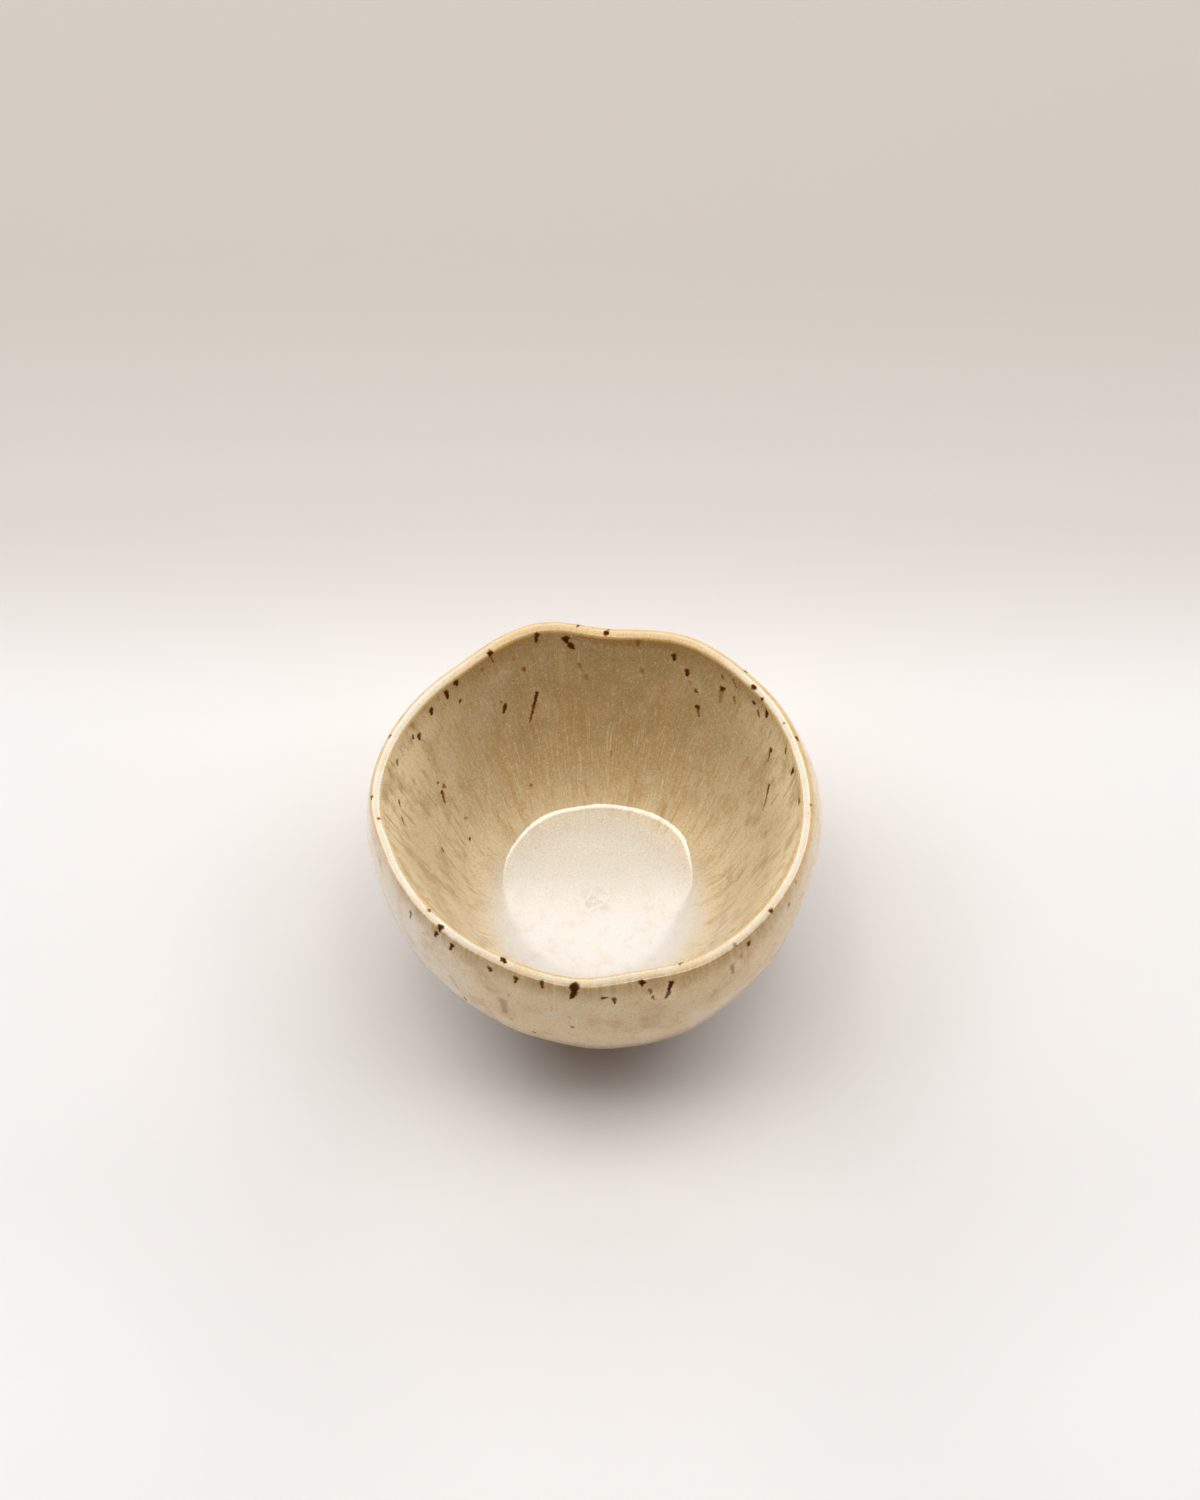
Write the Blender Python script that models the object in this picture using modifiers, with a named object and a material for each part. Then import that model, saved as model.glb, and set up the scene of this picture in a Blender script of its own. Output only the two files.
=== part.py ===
"""A low stoneware tea cup, pinched by hand: a clay bowl on a luted foot ring, and the glaze coats fired on it."""

import bisect
import math

import bpy

# Driving dimensions in metres, before the hand-shaping further down. Heights are above the table.
CUP_HEIGHT = 0.0528  # top of the glazed lip
LIP_RADIUS = 0.0419  # axis to the middle of the lip
LIP_THICKNESS = 0.0028  # across the glazed lip
BELLY_SWELL = 0.0009  # how far the belly stands out past the lip
BELLY_DROP = 0.0095  # top of the lip down to the widest level of the belly
UNDERSIDE_HEIGHT = 0.0052  # lowest point of the bowl's bare underside, inside the foot ring
FLOOR_THICKNESS = 0.0046  # from the bare underside up to the glazed floor
FLOOR_RADIUS = 0.0120  # flat part of the floor
FLOOR_FILLET = 0.0160  # radius from the floor up into the wall
WALL_UPRIGHT = 0.0050  # stretch of the inside wall under the lip that pulls it upright
FOOT_RADIUS = 0.0195  # outside of the foot ring, where it stands
FOOT_WIDTH = 0.0045  # across the foot ring
FOOT_FLARE = 0.0012  # how much wider the foot ring is at its joint than where it stands
FOOT_EDGE = 0.0007  # worn corners of the foot ring
BARE_BAND = 0.0045  # bare clay left between the foot ring and the glaze line
GLAZE_THICKNESS = 0.0005  # of every glaze coat
LIP_BAND = 0.0042  # width of the glaze band that laps over the lip
FIT_GAP = 0.0003  # between pieces that lie on each other

# Exponent of the outline below the belly: 2 is an ellipse, more is fuller.
BELLY_FULLNESS = 2.1

# How the lip leaves a true circle: azimuth in degrees, then radius and height in metres.
RIM_WAVE = (
    (10, -0.0008, 0.0),
    (40, -0.0001, 0.0),
    (62, 0.0006, 0.0005),
    (86, -0.0008, -0.0006),
    (106, 0.0011, 0.0008),
    (132, -0.0005, -0.0003),
    (180, 0.0004, 0.0),
    (200, -0.0006, 0.0003),
    (240, -0.0006, 0.0005),
    (266, 0.0002, -0.0001),
    (281, -0.0004, 0.0004),
    (300, 0.0003, -0.0001),
    (330, -0.0001, 0.0001),
)
RIM_WAVE_FADE = 3  # power by which the rim's wave dies out down the wall

# How the belly leaves a true circle: azimuth in degrees, then radius in metres.
BELLY_WAVE = (
    (15, 0.0017),
    (38, 0.0021),
    (90, 0.0003),
    (170, 0.0003),
    (215, -0.0011),
    (250, -0.0002),
    (290, 0.0010),
    (340, -0.0004),
)
BELLY_WAVE_FADE = 4  # power by which the belly's wave dies out towards the foot and the lip

# Finger marks of the pinching: azimuth in degrees, drop below the lip and depth in metres.
FINGER_MARKS = (
    (48, 0.023, 0.0006),
    (100, 0.028, 0.0006),
    (150, 0.020, 0.0006),
    (190, 0.027, 0.0005),
    (240, 0.032, 0.0006),
    (312, 0.026, 0.0005),
)
MARK_WIDTH = 0.010  # half width of a finger mark around the cup
MARK_HEIGHT = 0.008  # half height of a finger mark
MARK_FADE = 6  # how fast the marks set in above the foot

# Mesh counts: steps around the axis, and along each stretch of the outline.
TURN_STEPS = 72
FILLET_STEPS = 4
WALL_STEPS = 5
LIP_STEPS = 4
SHOULDER_STEPS = 2
BELLY_STEPS = 9
SEAT_STEPS = 3

COAT = GLAZE_THICKNESS + FIT_GAP
BELLY_RADIUS = LIP_RADIUS + LIP_THICKNESS / 2 + BELLY_SWELL
BELLY_HEIGHT = CUP_HEIGHT - BELLY_DROP
BELLY_DEPTH = BELLY_HEIGHT - (UNDERSIDE_HEIGHT - COAT)
FLOOR_HEIGHT = UNDERSIDE_HEIGHT + FLOOR_THICKNESS
FOOT_INNER = FOOT_RADIUS - FOOT_WIDTH
JOINT_RADIUS = FOOT_RADIUS + FOOT_FLARE


def bezier(start, control, end, t):
    """Point at t on the curve that leaves start towards control and reaches end from it."""
    return tuple((1 - t) ** 2 * a + 2 * t * (1 - t) * b + t**2 * c for a, b, c in zip(start, control, end))


def belly_point(radius):
    """Point of the skin below the belly, at a radius from the axis."""
    reach = 1 - (radius / BELLY_RADIUS) ** BELLY_FULLNESS
    return radius, BELLY_HEIGHT - BELLY_DEPTH * reach ** (1 / BELLY_FULLNESS)


def inside_outline():
    """Skin inside, from the axis: flat floor, fillet, and a wall drawn upright under the lip."""
    lip_edge = (LIP_RADIUS - LIP_THICKNESS / 2, CUP_HEIGHT - LIP_THICKNESS / 2)
    pull = (lip_edge[0], lip_edge[1] - WALL_UPRIGHT)
    centre = (FLOOR_RADIUS, FLOOR_HEIGHT + FLOOR_FILLET)
    away = (pull[0] - centre[0], pull[1] - centre[1])
    sweep = math.atan2(away[1], away[0]) - math.acos(FLOOR_FILLET / math.hypot(*away)) + math.pi / 2
    points = [(0.0, FLOOR_HEIGHT), (FLOOR_RADIUS / 2, FLOOR_HEIGHT)]
    for step in range(FILLET_STEPS + 1):
        angle = sweep * step / FILLET_STEPS
        points.append((centre[0] + FLOOR_FILLET * math.sin(angle), centre[1] - FLOOR_FILLET * math.cos(angle)))
    foot_of_wall = points[-1]
    for step in range(1, WALL_STEPS + 1):
        points.append(bezier(foot_of_wall, pull, lip_edge, step / WALL_STEPS))
    return points


def lip_outline():
    """Rounded lip, from just past its inner edge to its outer edge."""
    half = LIP_THICKNESS / 2
    points = []
    for step in range(1, LIP_STEPS + 1):
        angle = math.pi * step / LIP_STEPS
        points.append((LIP_RADIUS - half * math.cos(angle), CUP_HEIGHT - half + half * math.sin(angle)))
    return points


def outside_outline():
    """Skin outside, from below the lip's outer edge: shoulder, belly, foot joint and underside to the axis."""
    lip_edge = (LIP_RADIUS + LIP_THICKNESS / 2, CUP_HEIGHT - LIP_THICKNESS / 2)
    widest = (BELLY_RADIUS, BELLY_HEIGHT)
    pull = (BELLY_RADIUS, (BELLY_HEIGHT + lip_edge[1]) / 2)
    points = [bezier(lip_edge, pull, widest, step / SHOULDER_STEPS) for step in range(1, SHOULDER_STEPS + 1)]
    turn_at_joint = math.acos(JOINT_RADIUS / BELLY_RADIUS)
    for step in range(1, BELLY_STEPS + 1):
        points.append(belly_point(BELLY_RADIUS * math.cos(turn_at_joint * step / BELLY_STEPS)))
    for step in range(1, SEAT_STEPS + 1):
        points.append(belly_point(JOINT_RADIUS + (FOOT_INNER - JOINT_RADIUS) * step / SEAT_STEPS))
    points.append(belly_point(FOOT_INNER / 2))
    points.append(belly_point(0.0))
    return points


def sunk(outline, depth):
    """The outline moved a depth into the cup's wall, with its ends kept on the axis."""
    moved = []
    last = len(outline) - 1
    for index, (radius, height) in enumerate(outline):
        before = outline[max(index - 1, 0)]
        after = outline[min(index + 1, last)]
        along = (after[0] - before[0], after[1] - before[1])
        length = math.hypot(*along)
        sideways = depth * along[1] / length if 0 < index < last else 0.0
        moved.append((radius + sideways, height - depth * along[0] / length))
    return moved


def stretch(outline, measure, start, stop):
    """The part of an outline between two lengths of the measure that runs along it."""

    def at(length):
        index = min(max(bisect.bisect_left(measure, length), 1), len(measure) - 1)
        share = (length - measure[index - 1]) / (measure[index] - measure[index - 1])
        return tuple(a + share * (b - a) for a, b in zip(outline[index - 1], outline[index]))

    inner = [point for point, length in zip(outline, measure) if start < length < stop]
    return [at(start), *inner, at(stop)]


def around(stops, degrees):
    """What a list of stops around the cup holds at an azimuth, easing from each stop to the next."""
    wrapped = [(stops[-1][0] - 360, *stops[-1][1:]), *stops, (stops[0][0] + 360, *stops[0][1:])]
    index = bisect.bisect_right([stop[0] for stop in wrapped], degrees)
    start, *low = wrapped[index - 1]
    stop, *high = wrapped[index]
    share = (degrees - start) / (stop - start)
    ease = share * share * (3 - 2 * share)
    return [a + ease * (b - a) for a, b in zip(low, high)]


def shape_by_hand(point):
    """Moves a point of the true turned form to where the pinching left it. The foot stays round and flat."""
    radius = math.hypot(point.x, point.y)
    azimuth = math.atan2(point.y, point.x)
    degrees = math.degrees(azimuth) % 360
    joint_height = belly_point(JOINT_RADIUS)[1]
    up = max(point.z - joint_height, 0.0) / (CUP_HEIGHT - joint_height)
    rim_out, rim_up = around(RIM_WAVE, degrees)
    (belly_out,) = around(BELLY_WAVE, degrees)
    outward = rim_out * up**RIM_WAVE_FADE + belly_out * (1 - (2 * up - 1) ** BELLY_WAVE_FADE)
    for mark_azimuth, mark_drop, mark_depth in FINGER_MARKS:
        turn = math.remainder(azimuth - math.radians(mark_azimuth), 2 * math.pi)
        aside = turn * BELLY_RADIUS / MARK_WIDTH
        above = (point.z - CUP_HEIGHT + mark_drop) / MARK_HEIGHT
        outward -= mark_depth * math.exp(-aside * aside - above * above) * min(1.0, MARK_FADE * up)
    if radius > 0:
        point.xy = point.xy * (1 + outward * min(1.0, radius / FLOOR_RADIUS) / radius)
    point.z += rim_up * up**RIM_WAVE_FADE


def finish(name, colour, roughness):
    """Material of a piece."""
    material = bpy.data.materials.new(name)
    material.use_nodes = True
    shader = material.node_tree.nodes["Principled BSDF"]
    shader.inputs["Base Color"].default_value = (*colour, 1.0)
    shader.inputs["Roughness"].default_value = roughness
    shader.inputs["Metallic"].default_value = 0.0
    material.diffuse_color = (*colour, 1.0)
    return material


def turned(name, outline, closed, material):
    """One piece, turned about Z from an outline that runs down its outer side, then shaped by hand."""
    edges = [(index, index + 1) for index in range(len(outline) - 1)]
    if closed:
        edges.append((len(outline) - 1, 0))
    outline_mesh = bpy.data.meshes.new(name + "_outline")
    outline_mesh.from_pydata([(radius, 0.0, height) for radius, height in outline], edges, [])
    turning = bpy.data.objects.new(name + "_outline", outline_mesh)
    cup.objects.link(turning)
    screw = turning.modifiers.new("turn", "SCREW")
    screw.steps = TURN_STEPS
    screw.render_steps = TURN_STEPS
    screw.use_merge_vertices = True
    screw.merge_threshold = 0.00001

    evaluated = turning.evaluated_get(bpy.context.evaluated_depsgraph_get())
    mesh = bpy.data.meshes.new_from_object(evaluated)
    bpy.data.objects.remove(turning)
    bpy.data.meshes.remove(outline_mesh)
    mesh.name = name
    for vertex in mesh.vertices:
        shape_by_hand(vertex.co)
    mesh.shade_smooth()
    mesh.materials.clear()
    mesh.materials.append(material)
    cup.objects.link(bpy.data.objects.new(name, mesh))


def coat(name, start, stop, reaches_axis, colour):
    """A stretch of glaze: the skin is its face, and its back lies a gap above the clay."""
    face = stretch(skin, skin_measure, start, stop)
    back = stretch(sunk(skin, GLAZE_THICKNESS), skin_measure, start, stop)
    turned(name, face + back[::-1], not reaches_axis, finish(name, colour, 0.12))


for old in list(bpy.data.objects):
    bpy.data.objects.remove(old)

cup = bpy.data.collections.new("tea_cup")
bpy.context.scene.collection.children.link(cup)

# The skin of the finished cup, from the middle of the floor over the lip to the middle of the underside.
inside = inside_outline()
skin = inside + lip_outline() + outside_outline()
skin_measure = [0.0]
for before, after in zip(skin, skin[1:]):
    skin_measure.append(skin_measure[-1] + math.dist(before, after))

# The clay bowl lies a coat under the skin.
turned("clay_body", sunk(skin, COAT), False, finish("buff_stoneware", (0.52, 0.40, 0.27), 0.75))

# The foot ring is luted under the bowl, so its top follows the bowl's underside a gap away.
joint = len(skin) - 3 - SEAT_STEPS
seat = sunk(skin, COAT - FIT_GAP)[joint : joint + SEAT_STEPS + 1]
stand = [
    (FOOT_RADIUS, FOOT_EDGE),
    (FOOT_RADIUS - FOOT_EDGE, 0.0),
    (FOOT_INNER + FOOT_EDGE, 0.0),
    (FOOT_INNER, FOOT_EDGE),
]
turned("foot_ring", seat[::-1] + stand, True, finish("toasted_stoneware", (0.40, 0.27, 0.16), 0.8))

# The coats of glaze: poured inside, dipped outside down to the glaze line, and lapped over the lip.
lip_middle = skin_measure[len(inside) - 1 + LIP_STEPS // 2]
lip_start = lip_middle - LIP_BAND / 2
lip_stop = lip_middle + LIP_BAND / 2
glaze_line = skin_measure[joint] - BARE_BAND
coat("inside_glaze", 0.0, lip_start - FIT_GAP / 2, True, (0.62, 0.51, 0.34))
coat("lip_glaze", lip_start + FIT_GAP / 2, lip_stop - FIT_GAP / 2, False, (0.66, 0.50, 0.28))
coat("outside_glaze", lip_stop + FIT_GAP / 2, glaze_line, False, (0.60, 0.49, 0.35))
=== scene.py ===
"""Looks of a low stoneware tea cup, pinched by hand and glazed in speckled cream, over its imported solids."""

import bisect
import math

import bmesh
import bpy
import numpy as np
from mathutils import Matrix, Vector, noise
from mathutils.bvhtree import BVHTree


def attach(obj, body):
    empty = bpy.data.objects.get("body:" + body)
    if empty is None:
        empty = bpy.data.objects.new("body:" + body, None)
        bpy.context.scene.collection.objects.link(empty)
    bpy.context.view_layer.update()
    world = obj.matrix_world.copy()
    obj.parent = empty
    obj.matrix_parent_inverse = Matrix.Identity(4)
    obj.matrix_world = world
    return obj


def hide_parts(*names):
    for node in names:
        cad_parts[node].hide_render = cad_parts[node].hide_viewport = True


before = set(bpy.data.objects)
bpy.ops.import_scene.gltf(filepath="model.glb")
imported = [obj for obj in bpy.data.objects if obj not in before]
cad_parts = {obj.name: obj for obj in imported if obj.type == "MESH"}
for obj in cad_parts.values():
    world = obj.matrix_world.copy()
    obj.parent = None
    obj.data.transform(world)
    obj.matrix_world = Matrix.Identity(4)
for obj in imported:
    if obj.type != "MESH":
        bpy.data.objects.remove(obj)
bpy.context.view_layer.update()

# Camera: it looks down into the cup from in front and above, as the photograph does, so that the far wall
# and the floor of the cup show over the near lip. Its place was fitted to the outline of the lip.
PHOTO_WIDTH = 1200  # pixels
PHOTO_HEIGHT = 1500
FOCAL_PIXELS = 3200  # focal length, in pixels of the photograph
SENSOR_HEIGHT = 36.0  # mm
CAMERA_PLACE = (0.0012, -0.3571, 0.5596)  # m
LOOK_DOWN = math.radians(54)

lens = bpy.data.cameras.new("camera")
lens.sensor_fit = "VERTICAL"
lens.sensor_height = SENSOR_HEIGHT
lens.lens = SENSOR_HEIGHT * FOCAL_PIXELS / PHOTO_HEIGHT
camera = bpy.data.objects.new("camera", lens)
camera.location = CAMERA_PLACE
camera.rotation_euler = (math.pi / 2 - LOOK_DOWN, 0.0, 0.0)
bpy.context.scene.collection.objects.link(camera)
bpy.context.scene.camera = camera
bpy.context.scene.view_settings.view_transform = "Standard"


def sight_line(pixel_x, pixel_y):
    """Direction from the camera through a pixel of the photograph."""
    across = (pixel_x - PHOTO_WIDTH / 2) / FOCAL_PIXELS
    upward = (PHOTO_HEIGHT / 2 - pixel_y) / FOCAL_PIXELS
    direction = Vector((across, upward, -1.0))
    direction.rotate(camera.rotation_euler)
    return direction.normalized()


# Clay bowl: buff stoneware with iron grit, pinched by hand from one lump, its underside turned on a wheel.
# Only that bare underside shows, toasted by the kiln along the glaze line. Sizes are those of the solids,
# apart from the dished floor and the inside wall, which leans where it meets the lip.
CUP_HEIGHT = 0.0528  # m, top of the glazed lip
LIP_RADIUS = 0.0419  # middle of the lip
LIP_THICKNESS = 0.0028
BELLY_SWELL = 0.0009  # belly past the lip
BELLY_DROP = 0.0095  # lip down to the widest level of the belly
UNDERSIDE_HEIGHT = 0.0052
FLOOR_THICKNESS = 0.0042
FLOOR_RADIUS = 0.0136  # dished floor, out to the fillet
FLOOR_DISH = 0.0850  # radius that the floor is dished to
FLOOR_FILLET = 0.0178  # radius from the floor up into the wall
WALL_UPRIGHT = 0.0050  # stretch of the wall under the lip that pulls it up
LIP_LEAN = math.radians(18)  # of the wall inside, where it meets the lip
FOOT_RADIUS = 0.0195
FOOT_WIDTH = 0.0045
FOOT_FLARE = 0.0012
BARE_BAND = 0.0045  # foot joint to the glaze line
COAT = 0.0008  # glazed skin down to the clay
BELLY_FULLNESS = 2.1  # power of the curve below the belly; 2 is an ellipse
RIM_WAVE = (  # azimuth in degrees, then radius and height of the lip in m
    (10, -0.0008, 0.0),
    (40, -0.0001, 0.0),
    (62, 0.0006, 0.0005),
    (86, -0.0008, -0.0006),
    (106, 0.0011, 0.0008),
    (132, -0.0005, -0.0003),
    (180, 0.0004, 0.0),
    (200, -0.0006, 0.0003),
    (240, -0.0006, 0.0005),
    (266, 0.0002, -0.0001),
    (281, -0.0004, 0.0004),
    (300, 0.0003, -0.0001),
    (330, -0.0001, 0.0001),
)
RIM_WAVE_FADE = 3  # power by which the wave dies out down the wall
BELLY_WAVE = (  # azimuth in degrees, then radius in m
    (15, 0.0017),
    (38, 0.0021),
    (90, 0.0003),
    (170, 0.0003),
    (215, -0.0011),
    (250, -0.0002),
    (290, 0.0010),
    (340, -0.0004),
)
BELLY_WAVE_FADE = 4  # power by which the wave dies out towards the foot and the lip
WAVE_RADIUS = 0.030  # m, within which the waves fade towards the axis
FINGER_MARKS = (  # azimuth in degrees, then drop below the lip and depth in m
    (48, 0.023, 0.0006),
    (100, 0.028, 0.0006),
    (150, 0.020, 0.0006),
    (190, 0.027, 0.0005),
    (240, 0.032, 0.0006),
    (312, 0.026, 0.0005),
)
MARK_WIDTH = 0.010  # half width of a mark around the cup
MARK_HEIGHT = 0.008  # half height
MARK_FADE = 6  # how fast the marks set in above the foot
AROUND = 200  # points around each turned piece
FLOOR_STEPS = 10  # rows of points along the floor, and so on for the stretches below
FILLET_STEPS = 16
WALL_STEPS = 26
LIP_STEPS = 18
SHOULDER_STEPS = 8
BELLY_STEPS = 44
UNDERSIDE_STEPS = 30

BELLY_RADIUS = LIP_RADIUS + LIP_THICKNESS / 2 + BELLY_SWELL
BELLY_HEIGHT = CUP_HEIGHT - BELLY_DROP
BELLY_DEPTH = BELLY_HEIGHT - (UNDERSIDE_HEIGHT - COAT)
FLOOR_HEIGHT = UNDERSIDE_HEIGHT + FLOOR_THICKNESS
FOOT_INNER = FOOT_RADIUS - FOOT_WIDTH
JOINT_RADIUS = FOOT_RADIUS + FOOT_FLARE


def bezier(start, control, end, t):
    """Point at t on the curve that leaves start towards control and reaches end from it."""
    return tuple((1 - t) ** 2 * a + 2 * t * (1 - t) * b + t**2 * c for a, b, c in zip(start, control, end))


def belly_point(radius):
    """Point of the skin below the belly, at a radius from the axis."""
    reach = 1 - (radius / BELLY_RADIUS) ** BELLY_FULLNESS
    return radius, BELLY_HEIGHT - BELLY_DEPTH * reach ** (1 / BELLY_FULLNESS)


def inside_outline():
    """Skin inside, from the axis: dished floor, fillet, and a wall that leans a little under the lip."""
    half = LIP_THICKNESS / 2
    lean_out, lean_up = math.sin(LIP_LEAN), math.cos(LIP_LEAN)
    lip_edge = (LIP_RADIUS - half * lean_up, CUP_HEIGHT - half + half * lean_out)
    pull = (lip_edge[0] - WALL_UPRIGHT * lean_out, lip_edge[1] - WALL_UPRIGHT * lean_up)
    rise = math.asin(FLOOR_RADIUS / FLOOR_DISH)
    fillet_height = FLOOR_HEIGHT + FLOOR_DISH - (FLOOR_DISH - FLOOR_FILLET) * math.cos(rise)
    fillet_radius = FLOOR_RADIUS - FLOOR_FILLET * math.sin(rise)
    away = (pull[0] - fillet_radius, pull[1] - fillet_height)
    sweep = math.atan2(away[1], away[0]) - math.acos(FLOOR_FILLET / math.hypot(*away)) + math.pi / 2
    points = []
    for step in range(FLOOR_STEPS):
        angle = rise * step / FLOOR_STEPS
        points.append((FLOOR_DISH * math.sin(angle), FLOOR_HEIGHT + FLOOR_DISH * (1 - math.cos(angle))))
    for step in range(FILLET_STEPS + 1):
        angle = rise + (sweep - rise) * step / FILLET_STEPS
        radius = fillet_radius + FLOOR_FILLET * math.sin(angle)
        points.append((radius, fillet_height - FLOOR_FILLET * math.cos(angle)))
    foot_of_wall = points[-1]
    for step in range(1, WALL_STEPS + 1):
        points.append(bezier(foot_of_wall, pull, lip_edge, step / WALL_STEPS))
    return points


def lip_outline():
    """Rounded lip, from just past its inner edge to its outer edge."""
    half = LIP_THICKNESS / 2
    points = []
    for step in range(1, LIP_STEPS + 1):
        angle = LIP_LEAN + (math.pi - LIP_LEAN) * step / LIP_STEPS
        points.append((LIP_RADIUS - half * math.cos(angle), CUP_HEIGHT - half + half * math.sin(angle)))
    return points


def outside_outline():
    """Skin outside, from the lip's outer edge: shoulder, belly down to the foot joint, and underside."""
    lip_edge = (LIP_RADIUS + LIP_THICKNESS / 2, CUP_HEIGHT - LIP_THICKNESS / 2)
    widest = (BELLY_RADIUS, BELLY_HEIGHT)
    pull = (BELLY_RADIUS, (BELLY_HEIGHT + lip_edge[1]) / 2)
    points = []
    for step in range(1, SHOULDER_STEPS + 1):
        points.append(bezier(lip_edge, pull, widest, step / SHOULDER_STEPS))
    turn_at_joint = math.acos(JOINT_RADIUS / BELLY_RADIUS)
    for step in range(1, BELLY_STEPS + 1):
        points.append(belly_point(BELLY_RADIUS * math.cos(turn_at_joint * step / BELLY_STEPS)))
    for step in range(1, UNDERSIDE_STEPS + 1):
        points.append(belly_point(JOINT_RADIUS * (1 - step / UNDERSIDE_STEPS)))
    return points


inside = inside_outline()
skin_points = np.array(inside + lip_outline() + outside_outline())
skin_runs = np.concatenate(([0.0], np.cumsum(np.linalg.norm(np.diff(skin_points, axis=0), axis=1))))
lip_run = skin_runs[len(inside) - 1] + LIP_THICKNESS / 2 * (math.pi / 2 - LIP_LEAN)
joint_run = skin_runs[-1 - UNDERSIDE_STEPS]
glaze_run = joint_run - BARE_BAND
HAIR = 0.0002  # m, half the stretch of skin that its slope is read over


def skin(run, depth):
    """Radius and height at a run along the skin from the middle of the floor, a depth into the wall."""
    before, here, after = (
        [np.interp(place, skin_runs, skin_points[:, axis]) for axis in (0, 1)]
        for place in (run - HAIR, run, run + HAIR)
    )
    along = (after[0] - before[0], after[1] - before[1])
    length = math.hypot(*along)
    return here[0] + depth * along[1] / length, here[1] - depth * along[0] / length


def around(stops, degrees):
    """What a list of stops around the cup holds at an azimuth, easing from each stop to the next."""
    wrapped = [(stops[-1][0] - 360, *stops[-1][1:]), *stops, (stops[0][0] + 360, *stops[0][1:])]
    index = bisect.bisect_right([stop[0] for stop in wrapped], degrees)
    start, *low = wrapped[index - 1]
    stop, *high = wrapped[index]
    share = (degrees - start) / (stop - start)
    ease = share * share * (3 - 2 * share)
    return [a + ease * (b - a) for a, b in zip(low, high)]


def shape_by_hand(point):
    """Where the pinching left a point of the true turned form. The foot stays round and flat."""
    radius = math.hypot(point.x, point.y)
    azimuth = math.atan2(point.y, point.x)
    degrees = math.degrees(azimuth) % 360
    joint_height = belly_point(JOINT_RADIUS)[1]
    up = max(point.z - joint_height, 0.0) / (CUP_HEIGHT - joint_height)
    rim_out, rim_up = around(RIM_WAVE, degrees)
    (belly_out,) = around(BELLY_WAVE, degrees)
    outward = rim_out * up**RIM_WAVE_FADE + belly_out * (1 - (2 * up - 1) ** BELLY_WAVE_FADE)
    for mark_azimuth, mark_drop, mark_depth in FINGER_MARKS:
        turn = math.remainder(azimuth - math.radians(mark_azimuth), 2 * math.pi)
        aside = turn * BELLY_RADIUS / MARK_WIDTH
        above = (point.z - CUP_HEIGHT + mark_drop) / MARK_HEIGHT
        outward -= mark_depth * math.exp(-aside * aside - above * above) * min(1.0, MARK_FADE * up)
    if radius > 0:
        point.xy = point.xy * (1 + outward * min(1.0, radius / WAVE_RADIUS) / radius)
    point.z += rim_up * up**RIM_WAVE_FADE
    return point


def turned(name, outline_at, is_ring):
    """A closed piece turned about Z and shaped by hand.

    outline_at gives the radius, the height and the "along" value of each point at an azimuth. A piece that
    isn't a ring starts and ends on the axis.
    """
    form = bmesh.new()
    along = form.verts.layers.float.new("along")
    columns = []
    for turn in range(AROUND):
        azimuth = 2 * math.pi * turn / AROUND
        column = []
        for radius, height, value in outline_at(azimuth):
            if columns and radius == 0.0:
                column.append(columns[0][len(column)])
                continue
            place = Vector((radius * math.cos(azimuth), radius * math.sin(azimuth), height))
            vertex = form.verts.new(shape_by_hand(place))
            vertex[along] = value
            column.append(vertex)
        columns.append(column)
    for left, right in zip(columns, columns[1:] + columns[:1]):
        for index in range(0 if is_ring else 1, len(left)):
            corners = (left[index - 1], left[index], right[index], right[index - 1])
            form.faces.new(list(dict.fromkeys(corners)))
    bmesh.ops.recalc_face_normals(form, faces=form.faces)
    mesh = bpy.data.meshes.new(name)
    form.to_mesh(mesh)
    form.free()
    mesh.shade_smooth()
    piece = bpy.data.objects.new(name, mesh)
    bpy.context.scene.collection.objects.link(piece)
    return piece


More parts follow.
